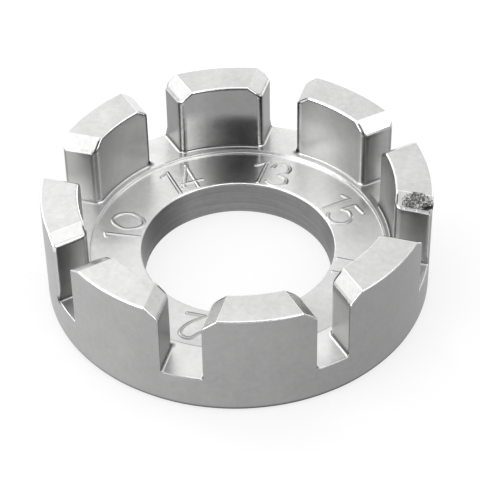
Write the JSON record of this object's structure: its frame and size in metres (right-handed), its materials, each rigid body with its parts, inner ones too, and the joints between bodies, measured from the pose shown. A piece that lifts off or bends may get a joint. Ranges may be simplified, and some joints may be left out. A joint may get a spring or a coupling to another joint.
{
  "type": "spoke wrench",
  "caption": "Round cast spoke wrench: a flat ring with a central hole and upright lugs, and between each two lugs a jaw for one size of spoke nipple.",
  "frame": {"origin": "on the ring's axis, at the flat underside it rests on", "axes": "+Z along the ring's axis, up through the lugs; -Y out through the jaw for 12 gauge nipples"},
  "size_m": [0.044, 0.044, 0.0133],
  "materials": {
    "plated_zinc": "bright plated zinc casting, satin with a fine cast skin"
  },
  "bodies": {
    "root": {"wrench_ring": "plated_zinc"}
  },
  "joints": []
}
